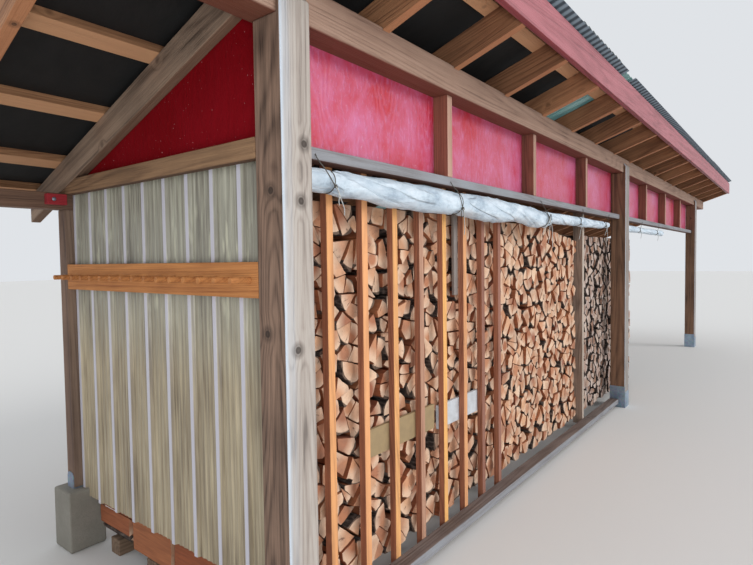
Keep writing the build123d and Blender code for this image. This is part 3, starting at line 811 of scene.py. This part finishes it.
# %% [markdown]
# ## Firewood
# In the measured model each log of the front row is a straight block, as thick as a whole round. A real
# stack has smaller pieces, so each block's end is first split further, through its middle. The end of a
# split log shows the heart of the tree at one corner, the rings round it, two split sides and the bark
# on an arc. So every point further from the heart than the bark is pulled in to it, which rounds the
# bark side and leaves the dark gaps of a real stack. The heart's place goes with the points as an
# attribute, and the material draws rings round it.

# %% Splitting the logs
LARGEST_BLOCK = 0.09
LOG_END_AREA = 0.0112
AREA_SPREAD = (0.75, 1.3)
SPLIT_TURN = 0.45


def flat_ends(node):
    """The front faces of the separate logs in a node, as flat outlines in one bmesh."""
    shape = merged_copy(node)
    ops.dissolve_limit(shape, angle_limit=0.02, verts=shape.verts, edges=shape.edges)
    ends = {face for face in shape.faces if face.normal.y < -0.99 and face.calc_area() < LARGEST_BLOCK}
    ops.delete(shape, geom=[face for face in shape.faces if face not in ends], context="FACES")
    return shape


def split_further(shape, draw):
    """Split each end across its longest reach until it is about as small as a real log's."""
    waiting = list(shape.faces)
    while waiting:
        face = waiting.pop()
        if face.calc_area() < LOG_END_AREA * draw.uniform(*AREA_SPREAD):
            continue
        middle = face.calc_center_median()
        tip = max(face.verts, key=lambda vert: (vert.co - middle).length).co - middle
        away = Matrix.Rotation(draw.gauss(0.0, SPLIT_TURN), 3, "Y") @ tip.normalized()
        made = ops.bisect_plane(
            shape, geom=[face, *face.edges, *face.verts], plane_co=middle, plane_no=away, dist=CUT_REACH
        )
        halves = picked(made, BMFace)
        if len(halves) == 2:
            waiting += halves
    ops.split_edges(shape, edges=shape.edges)


block_ends = flat_ends("firewood_near")
print("Blocks in the front row of the near stack:", len(block_ends.faces))
block_ends.free()

# %% [markdown]
# ## Shaping one row of logs
# Each end is planned first: where its heart is and how far the bark is from it. Then its points are
# pulled in, the end leans a little and stands a little back, and an extrusion makes the log. Chance
# picks the shape, always from the same seed, so every run gives the same stack.

# %% Shaping one row of logs
ROUND_BARK, SPLIT_BARK = (0.84, 0.96), (0.76, 0.90)
HEART_OUTSIDE = 0.02
END_LEAN = 0.10
POINT_STRAY = 0.0014
BARK_WOBBLE, BARK_LOBES = 0.05, 9
END_ARRIS = 0.002
BARK_CHANCE = 0.25


def sharpness(loop):
    """How pointed a corner is, from 0 for a straight side to 1 for a needle."""
    return (pi - loop.calc_angle()) / pi if loop.is_convex else 0.0


def heart_of(face, draw, round_share):
    """Where the tree's heart was: at a pointed corner of a split log, in the middle of a round one."""
    middle = face.calc_center_median()
    if draw.random() < round_share:
        return middle, True
    best = max(face.loops, key=lambda loop: sharpness(loop) + 0.4 * draw.random() + 1.5 * (loop.vert.co.z - middle.z))
    outward = (best.vert.co - middle).normalized()
    return best.vert.co + outward * draw.uniform(0.0, HEART_OUTSIDE), False


def plan_logs(shape, draw, round_share):
    """For each end: its heart, its middle, how far the bark is from the heart, and a chance number."""
    plans = []
    for face in shape.faces:
        heart, is_round = heart_of(face, draw, round_share)
        furthest = max((vert.co - heart).length for vert in face.verts)
        nearest = min(((edge.verts[0].co + edge.verts[1].co) / 2 - heart).length for edge in face.edges)
        share = draw.uniform(*(ROUND_BARK if is_round else SPLIT_BARK))
        plans.append((heart.copy(), face.calc_center_median(), max(furthest * share, nearest * 1.02), draw.random()))
    return plans


def shape_row(node, front, back, draw, round_share, shrink_range, is_split, cuts, furthest_back, eased):
    """One row of logs as closed shapes between two places."""
    shape = flat_ends(node)
    if is_split:
        split_further(shape, draw)
    hearts = shape.verts.layers.float_vector.new("heart")
    reaches = shape.verts.layers.float.new("reach")
    chances = shape.verts.layers.float.new("chance")
    plans = plan_logs(shape, draw, round_share)
    ops.bisect_edges(shape, edges=shape.edges, cuts=cuts)
    for face, (heart, middle, reach, chance) in zip(list(shape.faces), plans):
        shrink = draw.uniform(*shrink_range)
        lean = Vector((draw.uniform(-END_LEAN, END_LEAN), 0.0, draw.uniform(-END_LEAN, END_LEAN)))
        set_back = furthest_back * draw.random() ** 1.6
        for vert in face.verts:
            arm = vert.co - heart
            wobble = reach * (1 + BARK_WOBBLE * sin(BARK_LOBES * atan2(arm.z, arm.x) + 20 * chance))
            if arm.length > wobble:
                arm *= wobble / arm.length
            place = middle + (heart + arm - middle) * shrink
            place += Vector((draw.uniform(-POINT_STRAY, POINT_STRAY), 0.0, draw.uniform(-POINT_STRAY, POINT_STRAY)))
            place.y = front + set_back + abs(lean.dot(place - middle))
            vert.co = place
            vert[hearts] = middle + (heart - middle) * shrink
            vert[reaches] = reach * shrink
            vert[chances] = chance
    for vert in picked(ops.extrude_face_region(shape, geom=list(shape.faces), use_keep_orig=True), BMVert):
        vert.co.y = back - (vert.co.y - front)
    ops.recalc_face_normals(shape, faces=shape.faces)
    if eased:
        rims = [edge for edge in shape.edges if sum(face.normal.y < -0.9 for face in edge.link_faces) == 1]
        ops.bevel(shape, geom=rims, offset=END_ARRIS, segments=1, profile=0.5, affect="EDGES", material=-1)
    finish_sides(shape, hearts, reaches, chances)
    return shape


def finish_sides(shape, hearts, reaches, chances):
    """Sawn ends, split sides and bark get their own finishes, and bark is smooth."""
    for face in shape.faces:
        if abs(face.normal.y) > 0.5:
            face.material_index = 0
            continue
        middle = face.calc_center_median()
        vert = face.verts[0]
        arm = Vector((middle.x - vert[hearts].x, 0.0, middle.z - vert[hearts].z))
        has_bark = arm.length > 0.86 * vert[reaches] and vert[chances] > BARK_CHANCE
        face.material_index = 2 if has_bark else 1
        face.smooth = has_bark


# %% [markdown]
# ## Colours of a split log
# The sawn end shows pale sapwood near the bark, a tan to reddish heart, fine rings and dark drying
# cracks that run out from the heart, with a thin dark rim where the bark is left on. All of it follows
# from two numbers at each point: how far it is from the heart, and in which direction.

# %% Colours of a split log


def sawn_end(name, tones, sapwood):
    """The end grain, drawn round each log's own heart."""
    wood = Recipe(name, Roughness=0.85)
    plain = wood.place()
    reach, chance = wood.attribute("reach"), wood.attribute("chance")
    across, _, height = wood.parts(wood.vector_math("SUBTRACT", plain, wood.attribute("heart", 1)))
    distance = wood.vector_math("LENGTH", wood.add("CombineXYZ", X=across, Z=height), output=1)
    warped = wood.noise(plain, 28.0, detail=3.0) * 0.006 + distance
    rings = warped.wave(1500.0)
    share = warped / reach
    shade = chance.ramp(*[(number / (len(tones) - 1), tone) for number, tone in enumerate(tones)])
    shade = wood.blend(share.fade(0.50, 0.86) * 0.75, shade, sapwood)
    shade = wood.blend(rings * 0.24, shade, "#8a4e32")
    fan = wood.add("CombineXYZ", X=wood.math("ARCTAN2", height, across) * 2.6, Y=distance * 5.0)
    fan = wood.vector_math("ADD", fan, chance * 60.0)
    cracks = wood.noise(fan, 2.0, detail=5.0, roughness=0.7).ramp((0.33, 1.0), (0.375, 0.0))
    shade = wood.blend(cracks * 0.7, shade, "#4e281a")
    dirt = wood.noise(plain, 7.0, detail=5.0, roughness=0.65).ramp((0.46, 0.0), (0.72, 0.6))
    shade = wood.blend(dirt, shade, "#7a5c4e")
    rim = share.fade(0.935, 0.955) * (chance > BARK_CHANCE)
    return wood.finish(wood.blend(rim * 0.85, shade, "#3a2a24"), rings * 0.3 - cracks, depth=0.0015)


def split_side():
    """The long split faces: torn fibres along the log."""
    wood = Recipe("split_log_side", Roughness=0.88)
    fibres = wood.noise((1.0, 14.0, 1.0), 70.0, detail=4.0, roughness=0.65)
    tones = [(0.0, "#ac5e38"), (0.6, "#ca8254"), (1.0, "#8e482c")]
    tone = wood.attribute("chance").ramp(*tones)
    return wood.finish(wood.blend(fibres, tone, "#603220"), fibres, depth=0.004)


def log_bark():
    """Bark: near black furrows with grey-brown ridges."""
    bark = Recipe("log_bark", Roughness=0.95)
    furrows = bark.add("TexVoronoi", Vector=bark.place((1.0, 3.0, 1.0)), Scale=70.0)
    share = bark.noise(bark.place(), 45.0, detail=5.0) * 0.5 + furrows * 0.7
    tones = [(0.25, "#1a1412"), (0.6, "#3e322c"), (0.9, "#6c5e56")]
    return bark.finish(share.ramp(*tones), share, depth=0.008)


NEAR_TONES = "#a06242 #d69e78 #b87c5a #e8c4a4 #c48c6a #e0b08a #ac6e50 #d8a884 #985c42".split()
FAR_TONES = ["#967058", "#cebcac", "#805c46", "#bea89c"]
SIDE, BARK = split_side(), log_bark()
NEAR_LOGS = [sawn_end("sawn_log_end", NEAR_TONES, "#ecd0b4"), SIDE, BARK]
FAR_LOGS = [sawn_end("sawn_round_end", FAR_TONES, "#d2c6be"), BARK, BARK]
print("Log finishes:", len({*NEAR_LOGS, *FAR_LOGS}))

# %% [markdown]
# ## Stacking the logs
# Four rows of logs fill a stack from front to back. The first and the last row show, so their ends are
# split fine and stray a little. The two between only show as dark ends through the gaps, and stay
# coarse. Each row is shaped on its own and joined to the ones before.

# %% Stacking the logs
LOG_LENGTH = 0.374
ROW_GAP = 0.012
# For each row: is it split further, cuts in each side of an end, how far ends stand back, eased rims.
ROWS = ((True, 3, 0.034, True), (False, 1, 0.0, False), (False, 1, 0.0, False), (True, 2, 0.034, False))


def stack(name, node, seed, round_share, finishes, shrink_range):
    """All the rows of one stack as one piece."""
    draw = random.Random(seed)
    low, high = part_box(node)
    deep = (high.y - low.y - LOG_LENGTH) / (len(ROWS) - 1)
    joined = bmesh.new()
    for number, row in enumerate(ROWS):
        back = low.y + LOG_LENGTH + deep * number
        front = back - deep + ROW_GAP if number else low.y
        one_row = shape_row(node, front, back, draw, round_share, shrink_range, *row)
        kept = bpy.data.meshes.new("row")
        one_row.to_mesh(kept)
        one_row.free()
        joined.from_mesh(kept)
        bpy.data.meshes.remove(kept)
    make_piece(name, joined, finishes, "firewood", node)


stack("split_logs_near", "firewood_near", 11, 0.16, NEAR_LOGS, (0.88, 0.97))
stack("split_logs_far", "firewood_far", 12, 0.60, FAR_LOGS, (0.78, 0.92))

# %% [markdown]
# ## Rolled tarpaulins
# Each blind is a rolled sheet. A sheet is thin, so the roll is a real spiral: an open strip of points
# that winds outward, extruded along the rail. The measured model gives the roll's thickness and how
# far it hangs under the rail at a few stations, and the ties pull it in. Each point also keeps its
# place on the flat cloth as an attribute, so that the weave follows the winding.

# %% Rolled tarpaulins
TURN_STEPS = 18
ROLL_CORE = 0.010
ROLL_MARGIN = 0.004
TIE_PULL, TIE_GATHER = 0.035, 0.11
TIE_WAIST = 0.16
FOLD_HEIGHT, FOLD_LEVEL, GATHER_HEIGHT = 0.13, -0.02, 0.07
SAG_BELOW, SAG_ABOVE = 1.05, 1.10
RAIL_FRONT, RAIL_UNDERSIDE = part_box("front_rail_near")[0].yz
NEAR_ROLL = {
    "shares": (0.0, 0.088, 0.145, 0.266, 0.392, 0.47, 0.549, 0.582, 0.607, 0.773, 0.919, 1.0),
    "radii": (0.054, 0.057, 0.066, 0.071, 0.075, 0.062, 0.070, 0.070, 0.042, 0.046, 0.040, 0.032),
    "drops": (0.020, 0.021, 0.023, 0.019, 0.024, 0.030, 0.042, 0.043, 0.045, 0.040, 0.044, 0.045),
    "ties": (0.04, 0.27, 0.565, 0.77, 0.96),
}
FAR_ROLL = {
    "shares": (0.0, 0.4, 1.0),
    "radii": (0.042, 0.038, 0.040),
    "drops": (0.038, 0.040, 0.036),
    "ties": (0.38, 0.81),
}


def at_share(share, shares, values):
    """The value at a share of the roll's length, eased from station to station."""
    for start, end, low, high in zip(shares, shares[1:], values, values[1:]):
        if share <= end:
            part = (share - start) / (end - start)
            return low + (high - low) * part * part * (3 - 2 * part)
    return values[-1]


def roll_middle(roll, share, x, back):
    """The roll's radius and the middle of its cross section at a share of its length."""
    radius = at_share(share, roll["shares"], roll["radii"])
    drop = at_share(share, roll["shares"], roll["drops"])
    return radius, Vector((x, back - radius, RAIL_UNDERSIDE - drop - radius))


def folds(place, around):
    """Long folds that run round the roll at a slant, sharper on their ridges than in their hollows."""
    slow = 1 - 2 * abs(sin(around + 2.3 * place + 0.8 * sin(5.0 * place)))
    quick = 1 - 2 * abs(sin(2 * around - 9.0 * place + 1.7 * sin(13.0 * place)))
    return 0.6 * slow + 0.4 * quick


def near_tie(roll, share, length, reach):
    """1 at a tie, fading to 0 beside it."""
    return max(exp(-(((share - tie) * length / reach) ** 2)) for tie in roll["ties"])


def rolled_sheet(name, node, roll, turns, steps, material):
    """A spiral sheet along the stations of the measured roll."""
    low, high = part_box(node)
    length = high.x - low.x
    around_steps = turns * TURN_STEPS
    shape = bmesh.new()
    cut = shape.verts.layers.float_vector.new("cut")
    strip = [shape.verts.new((0.0, 0.0, step / around_steps)) for step in range(around_steps + 1)]
    last = [shape.edges.new(pair) for pair in zip(strip, strip[1:])]
    for step in range(steps):
        made = ops.extrude_edge_only(shape, edges=last)
        verts = set(picked(made, BMVert))
        last = [edge for edge in picked(made, BMEdge) if set(edge.verts) <= verts]
        for vert in verts:
            vert.co.x = (step + 1) / steps
    for vert in shape.verts:
        share, wound = vert.co.x, vert.co.z
        around = 2 * pi * turns * wound
        x = low.x + ROLL_MARGIN + share * (length - 2 * ROLL_MARGIN) + 0.006 * wound * sin(around * 0.7)
        station, middle = roll_middle(roll, share, x, high.y)
        outer = station * (1.0 - TIE_WAIST * near_tie(roll, share, length, TIE_PULL)) - 0.002
        gather = GATHER_HEIGHT * near_tie(roll, share, length, TIE_GATHER) * sin(7 * around)
        radius = ROLL_CORE + (outer - ROLL_CORE) * wound
        radius *= 1 + wound * (FOLD_HEIGHT * folds(share * length, around) + FOLD_LEVEL + gather)
        sag = SAG_BELOW if sin(around) < 0 else SAG_ABOVE
        vert[cut] = (share * length, pi * turns * wound * (ROLL_CORE + radius), 0.0)
        vert.co = middle + Vector((0.0, radius * cos(around), radius * sin(around) * sag))
        vert.co.x = min(max(vert.co.x, low.x), high.x)
        vert.co.y = min(vert.co.y, high.y)
    return make_piece(name, shape, [material], "tarp", node, smooth=True)


def tarp_cloth():
    """Pale blue-white woven plastic with grey smudges, fine creases with painted shade along them, and a soft shine.
    """
    cloth = Recipe("tarp_cloth", Roughness=0.45)
    threads = [cloth.math("SINE", place * 2100.0) for place in cloth.parts(cloth.attribute("cut", 1))[:2]]
    smudges = cloth.noise((2.2, 1.0, 1.0), 12.0, detail=6.0, roughness=0.7)
    tones = [(0.34, "#a8baca"), (0.46, "#d0e0ec"), (0.60, "#e4f0fa"), (0.8, "#ecf4fa")]
    shade = smudges.ramp(*tones)
    stains = cloth.noise(cloth.place(), 4.0, detail=5.0, roughness=0.7)
    shade = cloth.blend(stains.ramp((0.62, 0.0), (0.72, 0.5)), shade, "#788492")
    # Painted shade: darker lines along the slanted creases.
    slant = cloth.noise(cloth.place((6.0, 1.0, 1.0), (0.0, 0.22, 0.0)), 7.0, detail=1.0, distortion=0.15)
    ridges = slant.ramp((0.36, 0.0), (0.47, 1.0), (0.49, 0.0), (0.54, 0.0), (0.62, 0.8), (0.64, 0.0))
    shade = cloth.blend(ridges * 0.30, shade, "#96acc0")
    creases = cloth.noise((2.5, 1.0, 1.0), 24.0, detail=5.0, roughness=0.65, distortion=0.6)
    return cloth.finish(shade, threads[0] * threads[1] * 0.03 + ridges * -0.7 + creases, depth=0.012)


TARP = tarp_cloth()
near_roll = rolled_sheet("rolled_tarp_near", "tarp_roll_near", NEAR_ROLL, 7, 150, TARP)
far_roll = rolled_sheet("rolled_tarp_far", "tarp_roll_far", FAR_ROLL, 6, 60, TARP)

# %% [markdown]
# ## Ties
# A thin cord holds the roll at each tie: it comes down from the rail, goes once round the roll and ends
# in a knot on its front, from which one to three pale ends hang. The part that is pulled tight is one
# curve object for each roll. Every loose end is a limp cord of its own, and its length is printed.

# %% Ties
CORD = 0.0045
# For each tie: sideways shift at the rail, height of the knot on the roll from -1 to 1, long loops,
# and how far each loose end goes across and down.
NEAR_KNOTS = [
    (-0.10, -0.45, 0, [(0.022, -0.075), (0.050, -0.115)]),
    (-0.06, -0.50, 1, [(0.010, -0.145)]),
    (-0.05, 0.15, 2, [(-0.140, -0.130), (-0.030, -0.190), (0.060, -0.225)]),
    (0.03, -0.60, 0, [(-0.060, -0.135)]),
    (0.02, -0.40, 0, [(-0.050, -0.095), (0.030, -0.150)]),
]
FAR_KNOTS = [(0.0, -0.40, 0, [(0.015, -0.09)]), (0.0, -0.40, 0, [(-0.015, -0.10)])]
# For each point of a loose end: shares of the way across and of the sway, metres back, share of the way down.
BENDS = [(0.0, 0, 0.0, 0.0), (0.15, 0, -0.005, 0.16), (0.45, 1, -0.006, 0.38)]
BENDS += [(0.70, 0, -0.004, 0.60), (0.90, -1, 0.0, 0.82), (1.0, 0, 0.002, 1.0)]


def cord_finish(name, light, dark):
    """Twisted cord with dirt in its lay."""
    cord = Recipe(name, Roughness=0.9)
    lay = cord.noise(cord.place(), 420.0, detail=2.0)
    return cord.finish(lay.ramp((0.35, dark), (0.65, light)), lay, depth=0.0006)


DARK_CORD = cord_finish("weathered_tie_cord", "#68645c", "#363430")
PALE_CORD = cord_finish("pale_tie_cord", "#ced0ce", "#8c8e8c")


def cord_curve(name, material):
    """An empty curve with a round cord along it: the bevel is 1 m times each point's own radius."""
    curve = adjust(bpy.data.curves.new(name, "CURVE"), dimensions="3D", resolution_u=5)
    adjust(curve, bevel_depth=1.0, bevel_resolution=2, use_fill_caps=True)
    curve.materials.append(material)
    piece = new_object(name, curve)
    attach(piece, "root")
    return piece


def add_line(piece, points, closed=False):
    """One smooth line through or near the points."""
    spline = piece.data.splines.new("NURBS")
    spline.points.add(len(points) - 1)
    for point, place in zip(spline.points, points):
        point.co = (*place, 1.0)
        point.radius = CORD / 2
    spline.order_u = 3
    if closed:
        spline.use_cyclic_u = True
    else:
        spline.use_endpoint_u = True


def add_loop(piece, centre, across, up):
    """A small upright oval loop through six points."""
    turns = [step * pi / 3 for step in range(6)]
    oval = [(across * cos(turn), 0.004 * sin(2 * turn), up * sin(turn)) for turn in turns]
    add_line(piece, [centre + Vector(place) for place in oval], closed=True)


def tie_roll(side, node, bundle, roll, knots):
    """The tight cords of one roll, and its loose ends."""
    low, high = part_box(bundle)
    wraps = cord_curve("tie_wraps_" + side, DARK_CORD)
    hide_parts(node)
    lengths = []
    for number, (share, (shift, level, loops, ends)) in enumerate(zip(roll["ties"], knots)):
        x = low.x + share * (high.x - low.x)
        station, middle = roll_middle(roll, share, x, high.y)
        ring = station * 0.90
        turns = [2 * pi * step / 12 for step in range(12)]
        around = [middle + Vector((0.0, ring * cos(turn), ring * sin(turn))) for turn in turns]
        add_line(wraps, around, closed=True)
        knot = middle + Vector((0.0, -ring * sqrt(1 - level * level) - 0.003, ring * level))
        rail_edge = Vector((x + shift, RAIL_FRONT - 0.003, RAIL_UNDERSIDE + 0.022))
        brow = middle + Vector((shift * 0.5, -ring * 0.95, ring * 0.75))
        add_line(wraps, [rail_edge, rail_edge + Vector((0.0, -0.006, -0.020)), brow, knot])
        add_loop(wraps, knot, 0.007, 0.006)
        add_loop(wraps, knot + Vector((0.003, -0.004, -0.001)), 0.005, 0.008)
        for loop in range(loops):
            add_loop(wraps, knot + Vector((-0.008 + 0.03 * loop, -0.004, -0.026 + 0.03 * loop)), 0.016, 0.026)
        for which, (across, down) in enumerate(ends):
            lengths.append(loose_end(side, number, which, knot, across, down))
    print("Tie ends on the", side, "roll, in metres:", lengths)


def loose_end(side, number, which, knot, across, down):
    """One limp end that hangs from its knot."""
    start = knot + Vector((0.002 * which, -0.004, -0.002))
    sway = 0.006 * (-1) ** (number + which)
    points = [start + Vector((across * a + sway * s, back, down * d)) for a, s, back, d in BENDS]
    length = sum((second - first).length for first, second in zip(points, points[1:]))
    end = cord_curve(f"tie_end_{side}_{number + 1}_{which + 1}", PALE_CORD)
    add_line(end, points)
    return round(length, 3)


tie_roll("near", "roll_ties_near", "tarp_roll_near", NEAR_ROLL, NEAR_KNOTS)
tie_roll("far", "roll_ties_far", "tarp_roll_far", FAR_ROLL, FAR_KNOTS)
